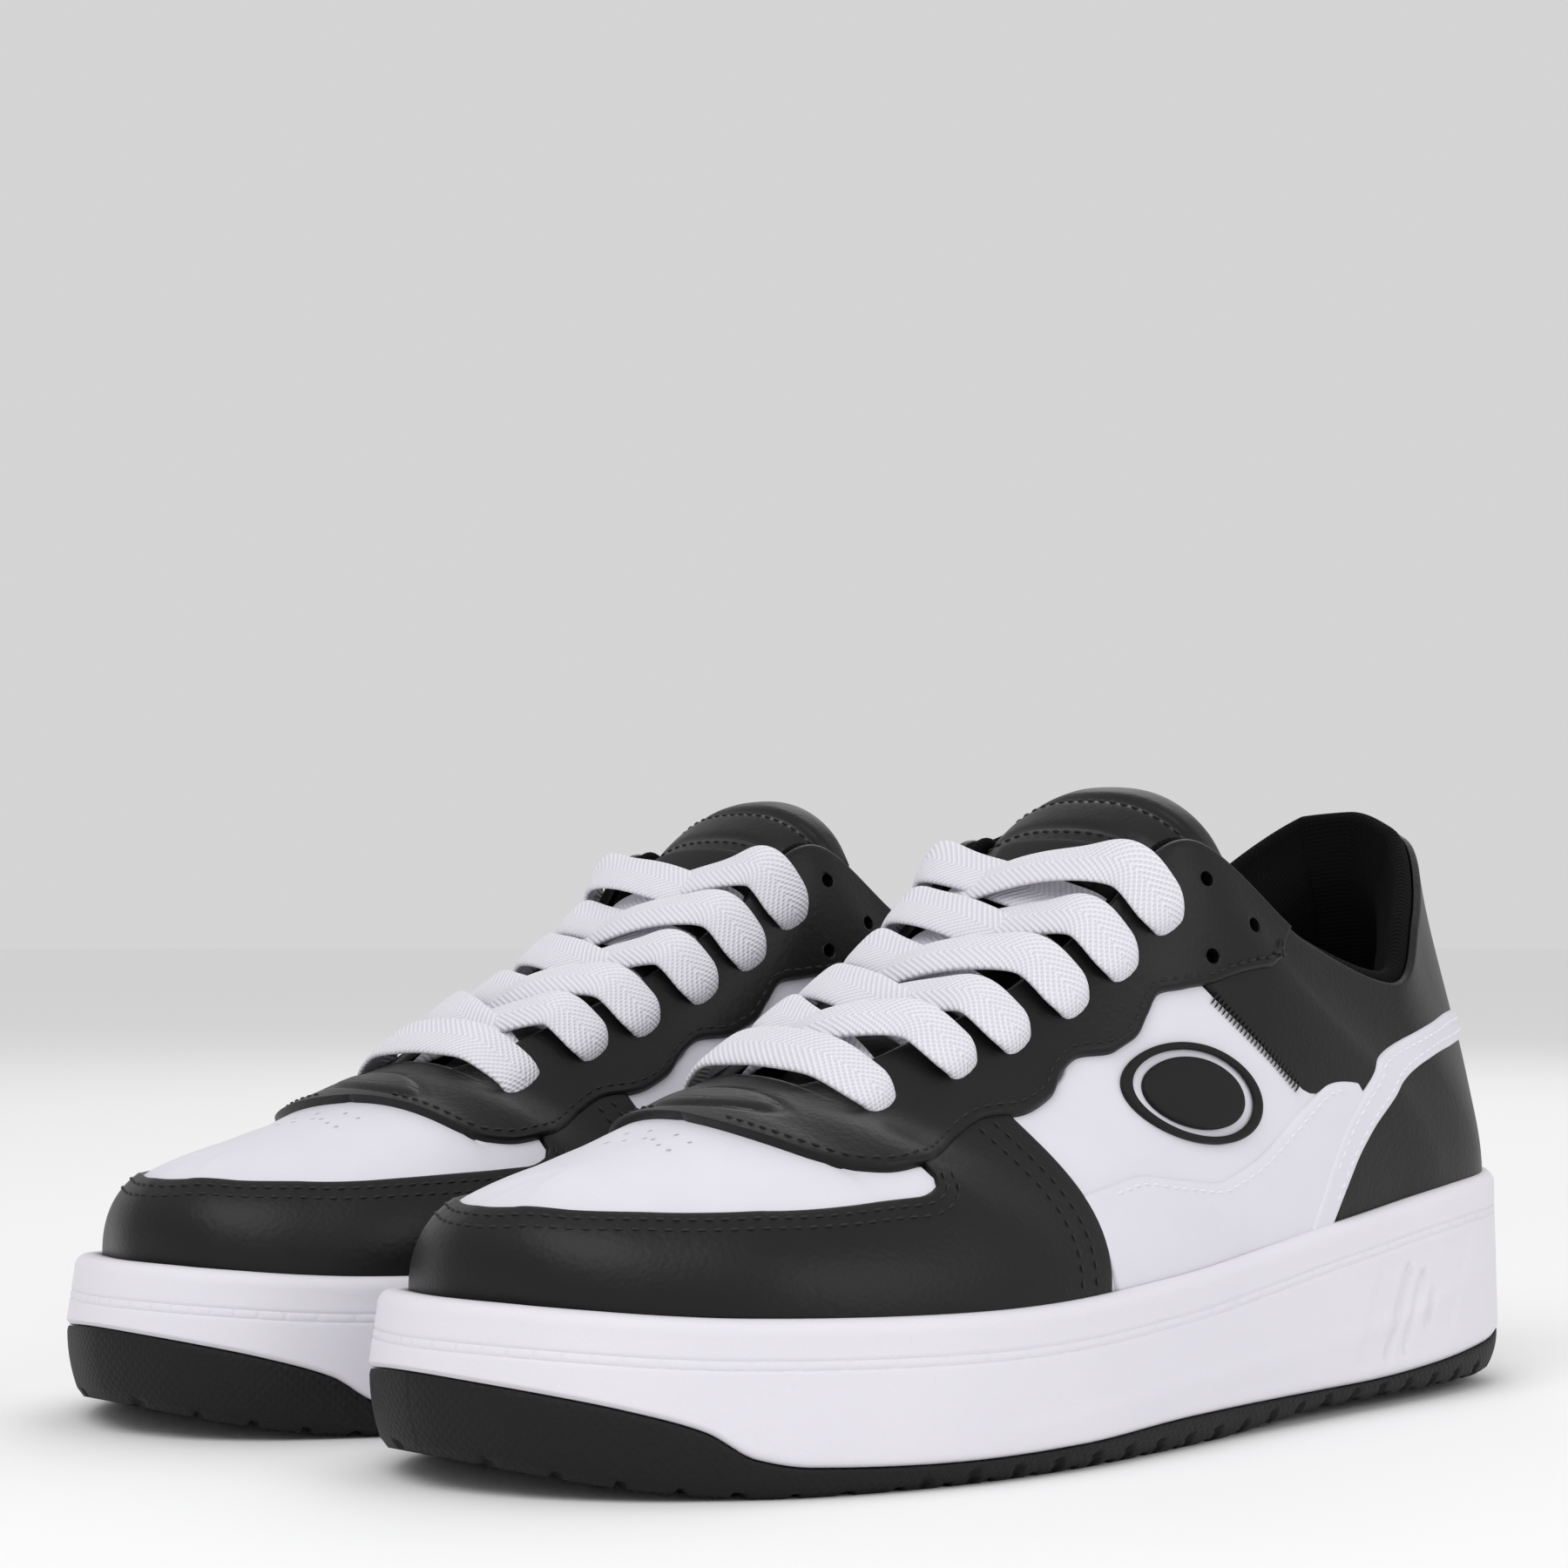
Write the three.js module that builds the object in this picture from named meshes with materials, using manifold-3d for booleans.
// A pair of low wheel-in-heel skate shoes, as separate pieces: sole units, upper
// panels, lining, tongue, lace, and a removable wheel on an axle under each heel.
// Millimetres, +Z up, toes towards -Y. The left shoe stands at +X with its lateral
// side outwards, and the right shoe is its mirror image at -X.

import * as THREE from 'three';
import { mergeVertices } from 'three/addons/utils/BufferGeometryUtils.js';
import Module from 'manifold-3d';

const wasm = await Module();
wasm.setup();

// ---------------------------------------------------------------- driving sizes

const SHOE_X = 49.5;
const STAGGER_Y = 2;
const GAP = 0.3;

// Outsole outline from toe (row 0) to heel (row 15): y, lateral x, medial x.
const OUTLINE = [
  [-130, -5, -5], [-126.5, 9.5, -19.5], [-119.5, 22, -29.5], [-108, 33.5, -38],
  [-88, 45.5, -46], [-62, 53, -47.5], [-35, 54.5, -45.5], [-9, 51.5, -41.5],
  [18, 47, -37.5], [44, 43.5, -34.5], [71, 40.5, -33.5], [93, 37.5, -33],
  [110.5, 32.5, -29.5], [122, 23.5, -22], [127.5, 14, -14], [130, 0, 0],
];
const LAST_ROW = 15;

// How far inside the outline the upper meets the sole, row by row.
const FEATHER_INSET = [9, 9, 8, 7, 6, 5.5, 5, 5, 5, 4.5, 4.5, 4, 4, 4, 4, 4];
const FEATHER_DEPTH = 3.5;

// Top line of the upper, row by row. Rows 0 to 5 lie on the toe-box ridge, where both
// sides meet; rows 6 to 9 edge the throat, row 10 is the throat's top corner, and rows
// 11 to 15 run round the collar to the heel tab.
const RIDGE_X = -3;
const RIDGE_ROWS = 5;
const TOP_Y = [-101, -99, -94, -87, -78, -68, -56, -38, -16, 6, 24, 52, 80, 97, 115, 118.5];
const TOP_Z = {
  lateral: [49.5, 50, 51, 52.5, 55, 59, 62, 69, 78, 92, 107, 88.5, 80.3, 93, 110, 114],
  medial: [49.5, 50, 51, 52.5, 55, 59, 62.5, 70, 79.5, 93.5, 108, 91, 88, 102, 113, 114],
};
const TOP_REACH = {
  lateral: [0, 0, 0, 0, 0, 0, 11, 17, 20, 23, 29, 34.5, 34, 26.5, 10, -4],
  medial: [0, 0, 0, 0, 0, 0, 10, 14, 17, 20, 24, 27, 27.5, 24, 16, 4],
};

// Bezier handles of each rib of the upper: rise from the sole, reach from the top line,
// the downward slope at the top line in degrees, and the outward lean at the sole.
const RIB_RISE = [15, 15, 15, 16, 17, 18, 20, 22, 26, 30, 32, 24, 20, 24, 28, 30];
const RIB_REACH = [18, 20, 22, 24, 28, 30, 28, 24, 24, 26, 26, 20, 16, 20, 24, 26];
const RIB_SLOPE = [0, 0, 0, 0, 0, 0, 25, 33, 40, 50, 66, 80, 86, 85, 82, 80];
const RIB_LEAN = [0.12, 0.12, 0.12, 0.1, 0.08, 0.05, 0.03, 0, 0, 0, 0, 0, 0.05, 0.08, 0.1, 0.12];

// Heights along the sole as [y, z] pairs.
const SOLE_TOP = [[-130, 31], [-97, 28.5], [-53, 27.7], [0, 30], [53, 36], [97, 41], [130, 43]];
const RUBBER_TOP = [
  [-130, 19], [-97, 7.4], [-75, 4.7], [-57, 4], [-35, 4.3], [0, 5.5], [53, 5.6],
  [106, 9], [122, 12.5], [130, 17.5],
];
const SOLE_BOTTOM = [
  [-130, 7], [-118, 3.6], [-104, 1.2], [-88, 0], [5, 0], [50, 2], [112, 2.2], [130, 5.2],
];
const RUBBER_FLOOR = 2.6;

// Layers of the upper, as offsets from its surface, positive outwards.
const LINING = [-3.9, -2.7];
const MIDDLE = [-2.2, -1.4];
const BASE = [-0.5, 0.6];
const OVERLAY = [-0.5, 1.2];
const BADGE = [1, 2.2];

// Panel boundaries as [row, fraction up the rib] pairs.
const CAP_TOP = [[0, 0.62], [1, 0.61], [2, 0.56], [3, 0.51], [4, 0.47], [5, 0.43],
  [5.4, 0.43], [5.7, 0.55]];
const EYESTAY_LOW = [[4.45, 1], [4.75, 0.74], [5, 0.57], [5.4, 0.53], [5.7, 0.55],
  [6.5, 0.68], [7.1, 0.66], [8, 0.74], [8.5, 0.7], [9, 0.76], [9.35, 0.68], [10, 0.64],
  [10.85, 1]];
const STRIPE_FRONT = [[8.85, 0], [9.35, 0.16], [10, 0.28], [10.85, 0.49], [11.6, 0.685],
  [12.4, 0.74], [13.4, 0.555], [14.2, 0.47], [15, 0.455]];
const STRIPE_REAR = [[9.2, 0], [9.35, 0.06], [10, 0.2], [10.85, 0.376], [11.6, 0.545],
  [12.4, 0.6], [13.4, 0.445], [14.2, 0.38], [15, 0.363]];
const COLLAR_LOW = [[9.35, 0.35], [10, 0.33], [10.85, 0.51], [11.6, 0.705], [12.4, 0.76],
  [13.4, 0.575], [14.2, 0.49], [15, 0.475]];
const COLLAR_START = 9.4;
const CAP_REAR = { row: 6.5, shear: 0.85 };
const EDGE_ROW = 0.03;
const EDGE_RISE = 0.008;

// Grid rows that every panel shares, so that layers nest without touching.
const ROWS = [0, 1, 2, 3, 4, 4.45, 4.75, 5, 5.4, 5.7, 6.5, 7.1, 8, 8.5, 9, 9.35, 10, 10.85,
  11.6, 12.4, 13.4, 14.2, 15];

// Oval emblem: its centre and half axes as [row, rise].
const EMBLEM = { centre: [8.5, 0.49], long: [0.47, -0.11], short: [0.3, 0.13], sides: 20 };

// Eyelet places up the throat, as rows of the upper, and the lace through them: its
// heights over the flaps, the arch across the tongue, and how far each run slants back
// towards the eyelet before.
const EYELET_ROWS = [6.33, 7.18, 7.73, 8.35, 8.88, 9.45];
const EYELET_RISE = 0.85;
const FLAP_RISE = 0.96;
const LACE = {
  width: 9.2, thick: 1.4, steps: 6, eyelet: 2.5, lift: 3.2, far: 2.7, end: 2.5, arch: 2.4,
  slant: 0.72, barLift: 1.2, upperLift: 0.4,
};

// Wheel unit under the heel.
const WHEEL = { x: 1, y: 86, radius: 15, half: 7.5 };
const AXLE = { radius: 3, half: 13.6 };
const HOUSING = { halfX: 16.5, halfY: 21, top: 33.2, wallX: 9.2, pocketY: 18.4, roof: 31 };

// Colours, roughness and metalness.
const LOOKS = {
  blackLeather: [0x2b282a, 0.5, 0],
  whiteLeather: [0xdedde3, 0.5, 0],
  blackKnit: [0x0e0e10, 0.95, 0],
  blackRubber: [0x232325, 0.75, 0],
  midsoleFoam: [0xe0dce6, 0.6, 0],
  whiteLace: [0xe4e2ea, 0.9, 0],
  foam: [0x3a3a3e, 0.95, 0],
  board: [0x8c7a60, 0.9, 0],
  plastic: [0x1b1b1d, 0.45, 0],
  urethane: [0xd9d4c8, 0.35, 0],
  steel: [0xb4b6ba, 0.3, 1],
};

// ---------------------------------------------------------------- curves

// Monotone cubic through [x, y] pairs.
function curve(pairs) {
  const step = pairs.slice(1).map(([x], i) => x - pairs[i][0]);
  const slope = pairs.slice(1).map(([, y], i) => (y - pairs[i][1]) / step[i]);
  const tangent = pairs.map((_, i) => {
    if (i === 0) return slope[0];
    if (i === pairs.length - 1) return slope[i - 1];
    const [before, after] = [slope[i - 1], slope[i]];
    if (before * after <= 0) return 0;
    const w1 = 2 * step[i] + step[i - 1];
    const w2 = step[i] + 2 * step[i - 1];
    return (w1 + w2) / (w1 / before + w2 / after);
  });
  return (value) => {
    const x = THREE.MathUtils.clamp(value, pairs[0][0], pairs.at(-1)[0]);
    let i = 0;
    while (i < pairs.length - 2 && x >= pairs[i + 1][0]) i += 1;
    const t = (x - pairs[i][0]) / step[i];
    const t2 = t * t;
    const t3 = t2 * t;
    return (2 * t3 - 3 * t2 + 1) * pairs[i][1] + (t3 - 2 * t2 + t) * step[i] * tangent[i]
      + (3 * t2 - 2 * t3) * pairs[i + 1][1] + (t3 - t2) * step[i] * tangent[i + 1];
  };
}

// Straight segments through [x, y] pairs.
function polyline(pairs) {
  return (x) => {
    if (x <= pairs[0][0]) return pairs[0][1];
    for (let i = 1; i < pairs.length; i += 1) {
      if (x <= pairs[i][0]) {
        const t = (x - pairs[i - 1][0]) / (pairs[i][0] - pairs[i - 1][0]);
        return THREE.MathUtils.lerp(pairs[i - 1][1], pairs[i][1], t);
      }
    }
    return pairs.at(-1)[1];
  };
}

const byRow = (values) => curve(values.map((value, row) => [row, value]));
const soleTop = curve(SOLE_TOP);
const rubberTop = curve(RUBBER_TOP);
const soleBottom = curve(SOLE_BOTTOM);
const featherInset = byRow(FEATHER_INSET);
const topY = byRow(TOP_Y);
const ridgeZ = byRow(TOP_Z.lateral);
const topZ = { 1: byRow(TOP_Z.lateral), '-1': byRow(TOP_Z.medial) };
const topReach = { 1: byRow(TOP_REACH.lateral), '-1': byRow(TOP_REACH.medial) };
const ribRise = byRow(RIB_RISE);
const ribReach = byRow(RIB_REACH);
const ribSlope = byRow(RIB_SLOPE);
const ribLean = byRow(RIB_LEAN);
const capTop = polyline(CAP_TOP);
const eyestayLow = polyline(EYESTAY_LOW);
const stripeFront = polyline(STRIPE_FRONT);
const stripeRear = polyline(STRIPE_REAR);
const collarLow = polyline(COLLAR_LOW);

// The outline as one closed loop: toe, lateral side, heel, medial side.
const LOOP = [
  ...OUTLINE.map(([y, lateral]) => new THREE.Vector2(lateral, y)),
  ...OUTLINE.slice(1, -1).reverse().map(([y, , medial]) => new THREE.Vector2(medial, y)),
];

function loopPoint(place) {
  const count = LOOP.length;
  const at = ((place % count) + count) % count;
  const i = Math.floor(at);
  const t = at - i;
  const [a, b, c, d] = [-1, 0, 1, 2].map((n) => LOOP[(i + n + count) % count]);
  const blend = (k) => 0.5 * (2 * b[k] + (c[k] - a[k]) * t
    + (2 * a[k] - 5 * b[k] + 4 * c[k] - d[k]) * t * t
    + (3 * b[k] - a[k] - 3 * c[k] + d[k]) * t * t * t);
  return new THREE.Vector2(blend('x'), blend('y'));
}

// A point on the outline moved inwards, and the outward direction there.
function outlineAt(place, inset) {
  const along = loopPoint(place + 0.02).sub(loopPoint(place - 0.02)).normalize();
  const out = new THREE.Vector2(along.y, -along.x);
  return { point: loopPoint(place).addScaledVector(out, -inset), out };
}

// ---------------------------------------------------------------- upper surface

const sideOf = (s) => (s >= 0 ? 1 : -1);
// Places run from -15 (heel, medial side) through 0 (toe) to 15 (heel, lateral side),
// and go on past either end for a panel that crosses the heel.
const wrap = (s) => (s > LAST_ROW ? s - 2 * LAST_ROW : s < -LAST_ROW ? s + 2 * LAST_ROW : s);

function topPoint(s) {
  const row = Math.abs(s);
  const side = sideOf(s);
  const height = row <= RIDGE_ROWS ? ridgeZ(row) : topZ[side](row);
  return new THREE.Vector3(RIDGE_X + side * topReach[side](row), topY(row), height);
}

function ridgeSlope(row) {
  const a = THREE.MathUtils.clamp(row - 0.05, 0, RIDGE_ROWS);
  const b = THREE.MathUtils.clamp(row + 0.05, 0, RIDGE_ROWS);
  if (b - a < 0.01) return ridgeSlope(RIDGE_ROWS - 0.05);
  return (ridgeZ(b) - ridgeZ(a)) / (topY(b) - topY(a));
}

function surface(place, rise) {
  const s = wrap(place);
  const row = Math.abs(s);
  const { point, out } = outlineAt(s, featherInset(row));
  const foot = new THREE.Vector3(point.x, point.y, soleTop(point.y) - FEATHER_DEPTH);
  const top = topPoint(s);
  const angle = THREE.MathUtils.degToRad(ribSlope(row));
  const flat = new THREE.Vector3(out.x, out.y, out.y * ridgeSlope(row));
  const steep = new THREE.Vector3(out.x * Math.cos(angle), out.y * Math.cos(angle),
    -Math.sin(angle));
  const blend = THREE.MathUtils.smoothstep(row, RIDGE_ROWS, RIDGE_ROWS + 1.5);
  const lean = ribLean(row);
  const low = foot.clone().addScaledVector(
    new THREE.Vector3(out.x * lean, out.y * lean, 1), ribRise(row));
  const high = top.clone().addScaledVector(flat.lerp(steep, blend), ribReach(row));
  return new THREE.CubicBezierCurve3(foot, low, high, top).getPoint(rise);
}

function surfaceNormal(place, rise) {
  const row = Math.abs(wrap(place));
  const step = 0.02;
  const low = Math.max(rise - step, 0);
  const high = Math.min(rise + step, 1);
  const along = surface(place + step, rise).sub(surface(place - step, rise));
  if (row < 0.5) along.set(1, 0, 0);
  const up = surface(place, high).sub(surface(place, low));
  const normal = along.cross(up).normalize();
  if (rise > 0.999 && row <= RIDGE_ROWS) {
    return new THREE.Vector3(0, -ridgeSlope(row), 1).normalize();
  }
  return normal;
}

function offsetPoint(place, rise, offset) {
  return surface(place, rise).addScaledVector(surfaceNormal(place, rise), offset);
}

// ---------------------------------------------------------------- meshes

// Collects triangles and turns them into one welded, closed geometry.
class Body {
  constructor() {
    this.corners = [];
  }

  triangle(a, b, c) {
    const area = b.clone().sub(a).cross(c.clone().sub(a)).length();
    if (area > 1e-5) this.corners.push(a, b, c);
  }

  quad(a, b, c, d) {
    this.triangle(a, b, c);
    this.triangle(a, c, d);
  }

  geometry() {
    const points = this.corners.flatMap((p) => [p.x, p.y, p.z]);
    const raw = new THREE.BufferGeometry();
    raw.setAttribute('position', new THREE.Float32BufferAttribute(points, 3));
    return mergeVertices(raw, 1e-3);
  }
}

// A thick panel of the upper. Each group is a run of columns, each column a list of
// [place, rise] pairs, and offsets are the inner and outer faces. Neighbouring columns on
// the toe-box ridge are joined across it, so they get no edge there.
function panel(groups, offsets, closed = false) {
  const body = new Body();
  const onRidge = ([place, rise]) => rise > 0.999 && Math.abs(wrap(place)) <= RIDGE_ROWS;
  groups.forEach((columns) => {
    const inner = columns.map((column) => column.map(([s, v]) => offsetPoint(s, v, offsets[0])));
    const outer = columns.map((column) => column.map(([s, v]) => offsetPoint(s, v, offsets[1])));
    const last = columns.length - 1;
    for (let i = 0; i < last; i += 1) {
      const top = columns[i].length - 1;
      for (let j = 0; j < top; j += 1) {
        body.quad(outer[i][j], outer[i + 1][j], outer[i + 1][j + 1], outer[i][j + 1]);
        body.quad(inner[i][j], inner[i][j + 1], inner[i + 1][j + 1], inner[i + 1][j]);
      }
      body.quad(inner[i][0], inner[i + 1][0], outer[i + 1][0], outer[i][0]);
      if (!(onRidge(columns[i][top]) && onRidge(columns[i + 1][top]))) {
        body.quad(outer[i][top], outer[i + 1][top], inner[i + 1][top], inner[i][top]);
      }
    }
    if (closed) return;
    for (let j = 0; j < columns[0].length - 1; j += 1) {
      body.quad(inner[0][j], outer[0][j], outer[0][j + 1], inner[0][j + 1]);
      body.quad(outer[last][j], inner[last][j], inner[last][j + 1], outer[last][j + 1]);
    }
  });
  return body.geometry();
}

// Rows of the shared grid from one place to another, both ends included.
function placesBetween(start, end) {
  const grid = [...ROWS.map((row) => -row), ...ROWS, ...ROWS.map((row) => 2 * LAST_ROW - row)];
  const inside = grid.filter((s) => s > start + 0.05 && s < end - 0.05);
  const all = [start, ...inside, end].sort((a, b) => a - b);
  return all.filter((s, i) => i === 0 || s - all[i - 1] > 1e-6);
}

// One column from a low to a high boundary, in equal steps up the rib.
function column(place, low, high, steps) {
  return Array.from({ length: steps + 1 }, (_, j) => [place, low + ((high - low) * j) / steps]);
}

const rowOf = (place) => Math.abs(wrap(place));

function between(start, end, low, high, steps) {
  return placesBetween(start, end).map((s) => column(s, low(rowOf(s)), high(rowOf(s)), steps));
}

// Plates and rings of the sole share stations round the outline.
const STATIONS = Array.from({ length: 48 }, (_, i) => (i * 2 * LAST_ROW) / 48);

function ring(inset, height) {
  return STATIONS.map((place) => {
    const row = place <= LAST_ROW ? place : 2 * LAST_ROW - place;
    const edge = outlineAt(place, 0).point;
    const { point } = outlineAt(place, typeof inset === 'number' ? inset : inset(row));
    return new THREE.Vector3(point.x, point.y, height(edge.y));
  });
}

// A closed body from rings stacked upwards, capped by a ladder from side to side.
function stack(rings) {
  const body = new Body();
  const count = STATIONS.length;
  for (let r = 0; r < rings.length - 1; r += 1) {
    for (let i = 0; i < count; i += 1) {
      const n = (i + 1) % count;
      body.quad(rings[r][i], rings[r][n], rings[r + 1][n], rings[r + 1][i]);
    }
  }
  const [bottom, top] = [rings[0], rings.at(-1)];
  for (let i = 0; i < count / 2; i += 1) {
    const [left, right] = [(count - i) % count, (count - i - 1) % count];
    body.quad(top[i], top[i + 1], top[right], top[left]);
    body.quad(bottom[i], bottom[left], bottom[right], bottom[i + 1]);
  }
  return body.geometry();
}

// ---------------------------------------------------------------- booleans

function toSolid(geometry) {
  const bare = geometry.clone();
  bare.deleteAttribute('normal');
  bare.deleteAttribute('uv');
  const welded = mergeVertices(bare, 1e-4);
  return new wasm.Manifold(new wasm.Mesh({
    numProp: 3,
    vertProperties: Float32Array.from(welded.attributes.position.array),
    triVerts: Uint32Array.from(welded.index.array),
  }));
}

function fromSolid(solid) {
  const mesh = solid.getMesh();
  const geometry = new THREE.BufferGeometry();
  geometry.setAttribute('position', new THREE.Float32BufferAttribute(mesh.vertProperties, 3));
  geometry.setIndex(Array.from(mesh.triVerts));
  return geometry;
}

function box(halfX, halfY, bottom, top) {
  const geometry = new THREE.BoxGeometry(2 * halfX, 2 * halfY, top - bottom);
  return geometry.translate(WHEEL.x, WHEEL.y, (top + bottom) / 2);
}

const cut = (geometry, tools) => fromSolid(
  tools.reduce((solid, tool) => solid.subtract(toSolid(tool)), toSolid(geometry)));

// ---------------------------------------------------------------- sole unit

const heelBay = () => box(HOUSING.halfX + GAP, HOUSING.halfY + GAP, -5, HOUSING.top + GAP);

function outsole() {
  const floor = (y) => soleBottom(y) + RUBBER_FLOOR;
  const body = stack([
    ring(6, soleBottom),
    ring(1.8, (y) => soleBottom(y) + 1),
    ring(0.2, rubberTop),
    ring(3.2, rubberTop),
    ring(3.4, (y) => Math.min(floor(y), rubberTop(y) - 0.5)),
  ]);
  return cut(body, [heelBay()]);
}

function midsole() {
  const lip = (row) => Math.min(3.5, featherInset(row) - 2.9);
  const rim = (row) => featherInset(row) - 2.2;
  const low = (y) => rubberTop(y) + GAP;
  const floor = (y) => Math.min(soleBottom(y) + RUBBER_FLOOR, rubberTop(y) - 0.5) + GAP;
  const body = stack([
    ring(3.8, floor),
    ring(3.6, low),
    ring(0, low),
    ring((row) => lip(row) * 0.35, (y) => soleTop(y) * 0.72 + low(y) * 0.28),
    ring((row) => lip(row) * 0.8, (y) => soleTop(y) - 1.2),
    ring(lip, soleTop),
    ring(rim, soleTop),
    ring((row) => rim(row) + 0.1, (y) => soleTop(y) - FEATHER_DEPTH - 1.2),
  ]);
  return cut(body, [heelBay()]);
}

function plate(inset, low, high) {
  return stack([
    ring((row) => featherInset(row) + inset, (y) => soleTop(y) + low),
    ring((row) => featherInset(row) + inset, (y) => soleTop(y) + high),
  ]);
}

// ---------------------------------------------------------------- wheel unit

// A body of revolution about the axle line, from a closed [radius, x] profile.
function turned(profile, segments, centreX = 0) {
  const points = [...profile, profile[0]].map(([radius, x]) => new THREE.Vector2(radius, x));
  return new THREE.LatheGeometry(points, segments)
    .rotateZ(-Math.PI / 2)
    .translate(WHEEL.x + centreX, WHEEL.y, WHEEL.radius);
}

const sleeve = (inner, outer, half) => [
  [inner, -half], [outer, -half], [outer, half], [inner, half],
];

function wheelHousing() {
  const pocket = box(HOUSING.wallX, HOUSING.pocketY, -5, HOUSING.roof);
  const slot = box(AXLE.half + GAP, AXLE.radius + GAP, -5, WHEEL.radius + AXLE.radius + GAP);
  const shell = box(HOUSING.halfX, HOUSING.halfY, soleBottom(WHEEL.y) + 0.5, HOUSING.top);
  return cut(shell, [pocket, slot]);
}

function wheelTyre() {
  const half = WHEEL.half;
  const crown = WHEEL.radius;
  return turned([
    [11.3, -half + 1], [12.5, -half], [crown - 1.4, -half + 0.4], [crown, -half + 2.4],
    [crown, half - 2.4], [crown - 1.4, half - 0.4], [12.5, half], [11.3, half - 1],
  ], 24);
}

const wheelHub = () => turned([
  [7.9, -6.6], [11, -6.6], [11, 6.6], [7.9, 6.6], [7.9, 1.6], [4.6, 1.6], [4.6, -1.6],
  [7.9, -1.6],
], 20);

// ---------------------------------------------------------------- upper pieces

const full = () => 1;
const floorOf = () => 0;
const shrinkUp = (line) => (row) => Math.min(line(row) + EDGE_RISE, 1);
const shrinkDown = (line) => (row) => Math.max(line(row) - EDGE_RISE, 0);

// Right-hand and left-hand columns of a panel that is alike on both sides.
const flip = (columns) => columns.map((col) => col.map(([s, v]) => [-s, v])).reverse();

function lining() {
  const columns = placesBetween(-LAST_ROW, LAST_ROW).map((s) => column(s, 0, 1, 5));
  return panel([columns], LINING, true);
}

const toePuff = () => panel([between(-3, 3, floorOf, () => 0.6, 3)], MIDDLE);
const heelCounter = () => panel([between(12.4, 17.6, floorOf, () => 0.62, 3)], MIDDLE);
const collarPad = () => panel([between(9.35, 20.65, () => 0.66, () => 0.97, 2)], MIDDLE);

function toeCap() {
  const high = (row) => (row <= 5.7 ? capTop(row) : eyestayLow(row) - EDGE_RISE);
  const steps = 4;
  const body = between(-6.5, 6.5, floorOf, high, steps);
  const rear = column(0, 0, eyestayLow(7.05) - EDGE_RISE, steps)
    .map(([, v]) => [CAP_REAR.row + EDGE_ROW + CAP_REAR.shear * v, v]);
  return panel([[...flip([rear]), ...body, rear]], OVERLAY);
}

function vamp() {
  const high = (row) => (row <= 4 ? 1 : eyestayLow(row) - 6 * EDGE_RISE);
  return panel([between(-5.4, 5.4, (row) => capTop(row) + EDGE_RISE, high, 4)], BASE);
}

function eyestay() {
  const half = between(4.58, 10.85, shrinkUp(eyestayLow), full, 2);
  return panel([flip(half), half], OVERLAY);
}

function quarter(side) {
  const steps = 4;
  const front = column(0, 0, eyestayLow(7.1) - EDGE_RISE, steps)
    .map(([, v]) => [CAP_REAR.row + 3 * EDGE_ROW + CAP_REAR.shear * v, v]);
  const low = (row) => (row <= 8.85 ? 0 : stripeFront(row) + EDGE_RISE);
  const upper = between(8, 9.3, low, shrinkDown(eyestayLow), steps);
  const lower = [9.36, 10].map((row) => column(row, low(row), collarLow(row) - EDGE_RISE, steps));
  const columns = [front, ...upper, ...lower];
  return panel([side > 0 ? columns : flip(columns)], BASE);
}

function collarPanel() {
  const high = (row) => (row < 10.85 ? eyestayLow(row) - EDGE_RISE : 1);
  const low = (row) => (row < COLLAR_START + 0.01 ? collarLow(9.35) : collarLow(row));
  return panel([between(COLLAR_START, 2 * LAST_ROW - COLLAR_START, shrinkUp(low), high, 3)], BASE);
}

function heelStripe() {
  const low = (row) => (row < 9.2 ? 0 : stripeRear(row) + EDGE_RISE);
  return panel([between(9, 21, low, stripeFront, 2)], OVERLAY);
}

function heelPanel() {
  return panel([between(9.35, 20.65, floorOf, shrinkDown(stripeRear), 3)], OVERLAY);
}

function badge() {
  const { centre, long, short, sides } = EMBLEM;
  const body = new Body();
  const at = (i, scale, offset) => {
    const angle = (-2 * Math.PI * i) / sides;
    const [c, d] = [Math.cos(angle) * scale, Math.sin(angle) * scale];
    return offsetPoint(centre[0] + long[0] * c + short[0] * d,
      centre[1] + long[1] * c + short[1] * d, offset);
  };
  for (let i = 0; i < sides; i += 1) {
    body.triangle(at(0, 0, BADGE[1]), at(i + 1, 1, BADGE[1]), at(i, 1, BADGE[1]));
    body.triangle(at(0, 0, BADGE[0]), at(i, 1, BADGE[0]), at(i + 1, 1, BADGE[0]));
    body.quad(at(i, 1, BADGE[0]), at(i, 1, BADGE[1]), at(i + 1, 1, BADGE[1]),
      at(i + 1, 1, BADGE[0]));
  }
  return body.geometry();
}

// ---------------------------------------------------------------- tongue and lace

const THROAT_SLOPE = THREE.MathUtils.degToRad(38);
const THROAT_UP = new THREE.Vector3(0, -Math.sin(THROAT_SLOPE), Math.cos(THROAT_SLOPE));
const TONGUE = { rows: [5.5, 6.2, 7, 8, 9, 9.7], under: -5.9, crown: 3.5, thick: 3.2 };
const TONGUE_TOP = [[0, 11, 9.5, 4.5], [0, 18.5, 12.5, 4]];

// One cross-section of the tongue: upper points from the lateral to the medial side.
function tongueSection(row) {
  const edge = (side, rise) => offsetPoint(side * row, rise, TONGUE.under);
  const [lateral, medial] = [edge(1, 1), edge(-1, 1)];
  const middle = [0.25, 0.5, 0.75].map((t) => lateral.clone().lerp(medial, t)
    .addScaledVector(THROAT_UP, TONGUE.crown * Math.sin(Math.PI * t)));
  return [edge(1, 0.8), edge(1, 0.92), ...middle, edge(-1, 0.92), edge(-1, 0.8)];
}

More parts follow.
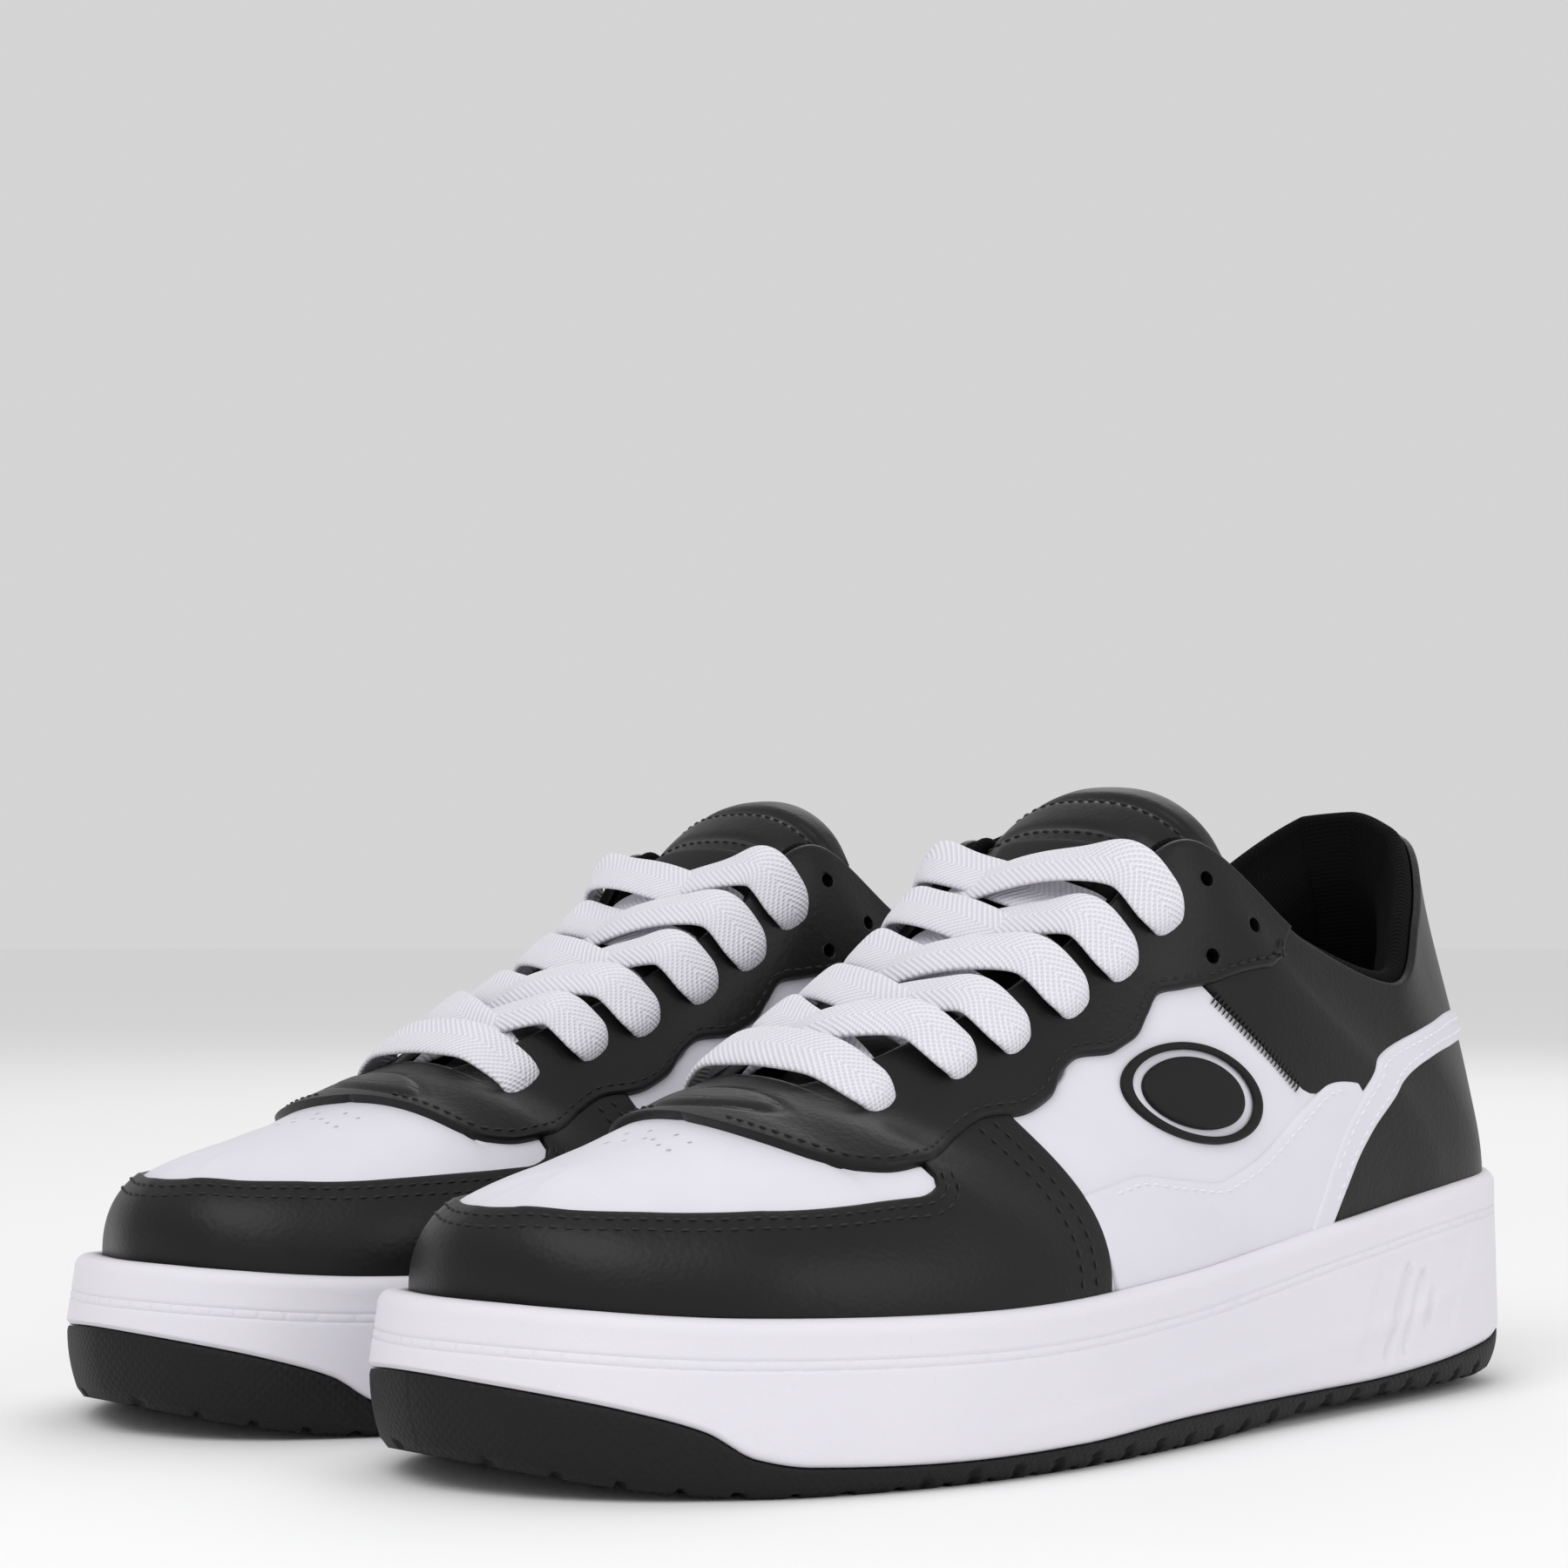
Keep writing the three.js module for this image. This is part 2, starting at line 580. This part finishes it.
function tongueSections() {
  const sections = TONGUE.rows.map((row) => ({ points: tongueSection(row), thick: TONGUE.thick }));
  const last = sections.at(-1).points;
  const middle = last[3];
  TONGUE_TOP.forEach(([x, y, z, thick], i) => {
    const narrow = 0.92 - 0.1 * i;
    const points = last.map((p) => new THREE.Vector3(
      middle.x + (p.x - middle.x) * narrow + x, p.y + y, p.z + z));
    sections.push({ points, thick });
  });
  return sections;
}

// A closed strip from sections of top points, thickened downwards.
function strip(tops, bottoms) {
  const body = new Body();
  const across = tops[0].length - 1;
  const last = tops.length - 1;
  for (let i = 0; i < last; i += 1) {
    for (let j = 0; j < across; j += 1) {
      body.quad(tops[i][j], tops[i + 1][j], tops[i + 1][j + 1], tops[i][j + 1]);
      body.quad(bottoms[i][j], bottoms[i][j + 1], bottoms[i + 1][j + 1], bottoms[i + 1][j]);
    }
    body.quad(bottoms[i][0], bottoms[i + 1][0], tops[i + 1][0], tops[i][0]);
    body.quad(tops[i][across], tops[i + 1][across], bottoms[i + 1][across], bottoms[i][across]);
  }
  for (let j = 0; j < across; j += 1) {
    body.quad(tops[0][j], tops[0][j + 1], bottoms[0][j + 1], bottoms[0][j]);
    body.quad(bottoms[last][j], bottoms[last][j + 1], tops[last][j + 1], tops[last][j]);
  }
  return body.geometry();
}

function lowered(points, thick) {
  const middle = points[3];
  return points.map((p) => {
    const inward = new THREE.Vector3((middle.x - p.x) * 0.02, 0, 0);
    return p.clone().addScaledVector(THROAT_UP.clone().sub(inward).normalize(), -thick);
  });
}

function tongue() {
  const sections = tongueSections();
  return strip(sections.map(({ points }) => points),
    sections.map(({ points, thick }) => lowered(points, thick)));
}

function tongueLabel() {
  const sections = tongueSections().slice(-3, -1).map(({ points }) => points);
  const pick = (lift) => [0.15, 0.85].map((t) => [2, 3, 4].map((j) => sections[0][j].clone()
    .lerp(sections[1][j], t).addScaledVector(THROAT_UP, lift)));
  return strip(pick(1.3), pick(0.4));
}

// A flat ribbon along a list of points, its width held along the throat.
function ribbon(points) {
  const path = new THREE.CatmullRomCurve3(points);
  const { steps } = LACE;
  const tops = [];
  const bottoms = [];
  for (let i = 0; i <= steps; i += 1) {
    const at = path.getPoint(i / steps);
    const along = path.getTangent(i / steps);
    const across = THROAT_UP.clone().cross(along).normalize();
    const up = along.clone().cross(across).normalize();
    const edges = [-0.5, 0.5].map((w) => at.clone().addScaledVector(across, w * LACE.width));
    tops.push(edges.map((p) => p.clone().addScaledVector(up, LACE.thick / 2)));
    bottoms.push(edges.map((p) => p.clone().addScaledVector(up, -LACE.thick / 2)));
  }
  return strip(tops, bottoms);
}

// Points of one lace run: eyelet on one side, over the flap edge, across the tongue, and
// down beside the other flap edge at another row.
function laceRun(side, fromRow, toRow, lift) {
  const top = OVERLAY[1];
  const endRise = toRow === fromRow ? EYELET_RISE : FLAP_RISE;
  const start = offsetPoint(side * fromRow, EYELET_RISE, top + LACE.eyelet + lift * 0.7);
  const edge = offsetPoint(side * fromRow, 1, top + LACE.lift + lift);
  const far = offsetPoint(-side * toRow, 1, top + LACE.far + lift * 0.5);
  const end = offsetPoint(-side * toRow, endRise, top + LACE.end + lift * 0.5);
  const middle = edge.clone().lerp(far, 0.5).addScaledVector(THROAT_UP, LACE.arch);
  return [start, edge, middle, far, end];
}

function lace() {
  const rows = EYELET_ROWS;
  const runs = [laceRun(1, rows[0], rows[0], LACE.barLift)];
  for (let n = 1; n < rows.length; n += 1) {
    const below = THREE.MathUtils.lerp(rows[n], rows[n - 1], LACE.slant);
    runs.push(laceRun(1, rows[n], below, LACE.upperLift), laceRun(-1, rows[n], below, 0));
  }
  const solids = runs.map((points) => toSolid(ribbon(points)));
  return fromSolid(solids.reduce((whole, solid) => whole.add(solid)));
}

// ---------------------------------------------------------------- assembly

const PIECES = {
  outsole: [outsole, 'blackRubber'],
  midsole: [midsole, 'midsoleFoam'],
  lasting_board: [() => plate(4.8, -3.6, -1.6), 'board'],
  insole: [() => plate(5.2, -1.2, 2.8), 'blackKnit'],
  wheel_housing: [wheelHousing, 'plastic'],
  wheel_axle: [() => turned([[0, -AXLE.half], [AXLE.radius, -AXLE.half],
    [AXLE.radius, AXLE.half], [0, AXLE.half]], 16), 'steel'],
  wheel_tyre: [wheelTyre, 'urethane'],
  wheel_hub: [wheelHub, 'plastic'],
  bearing_lateral: [() => turned(sleeve(3.35, 7.5, 2.3), 20, 4.3), 'steel'],
  bearing_medial: [() => turned(sleeve(3.35, 7.5, 2.3), 20, -4.3), 'steel'],
  lining: [lining, 'blackKnit'],
  toe_puff: [toePuff, 'board'],
  heel_counter: [heelCounter, 'board'],
  collar_pad: [collarPad, 'foam'],
  toe_cap: [toeCap, 'blackLeather'],
  vamp: [vamp, 'whiteLeather'],
  eyestay: [eyestay, 'blackLeather'],
  quarter_lateral: [() => quarter(1), 'whiteLeather'],
  quarter_medial: [() => quarter(-1), 'whiteLeather'],
  collar_panel: [collarPanel, 'blackLeather'],
  heel_stripe: [heelStripe, 'whiteLeather'],
  heel_panel: [heelPanel, 'blackLeather'],
  badge: [badge, 'blackRubber'],
  tongue: [tongue, 'blackLeather'],
  tongue_label: [tongueLabel, 'blackLeather'],
  lace: [lace, 'whiteLace'],
};

// The mirror image of a geometry across the middle plane of the pair.
function mirrored(geometry) {
  const copy = geometry.clone().scale(-1, 1, 1);
  const index = Array.from(copy.index.array);
  for (let i = 0; i < index.length; i += 3) {
    [index[i + 1], index[i + 2]] = [index[i + 2], index[i + 1]];
  }
  copy.setIndex(index);
  return copy;
}

function material(name) {
  const [color, roughness, metalness] = LOOKS[name];
  return new THREE.MeshStandardMaterial({ color, roughness, metalness });
}

const group = new THREE.Group();
const left = new THREE.Group();
const right = new THREE.Group();
left.position.set(SHOE_X, STAGGER_Y, 0);
right.position.set(-SHOE_X, -STAGGER_Y, 0);
group.add(left, right);

Object.entries(PIECES).forEach(([name, [make, look]]) => {
  const geometry = make();
  const leftMesh = new THREE.Mesh(geometry, material(look));
  leftMesh.name = `left_${name}`;
  left.add(leftMesh);
  const rightMesh = new THREE.Mesh(mirrored(geometry), material(look));
  rightMesh.name = `right_${name}`;
  right.add(rightMesh);
});

export default group;
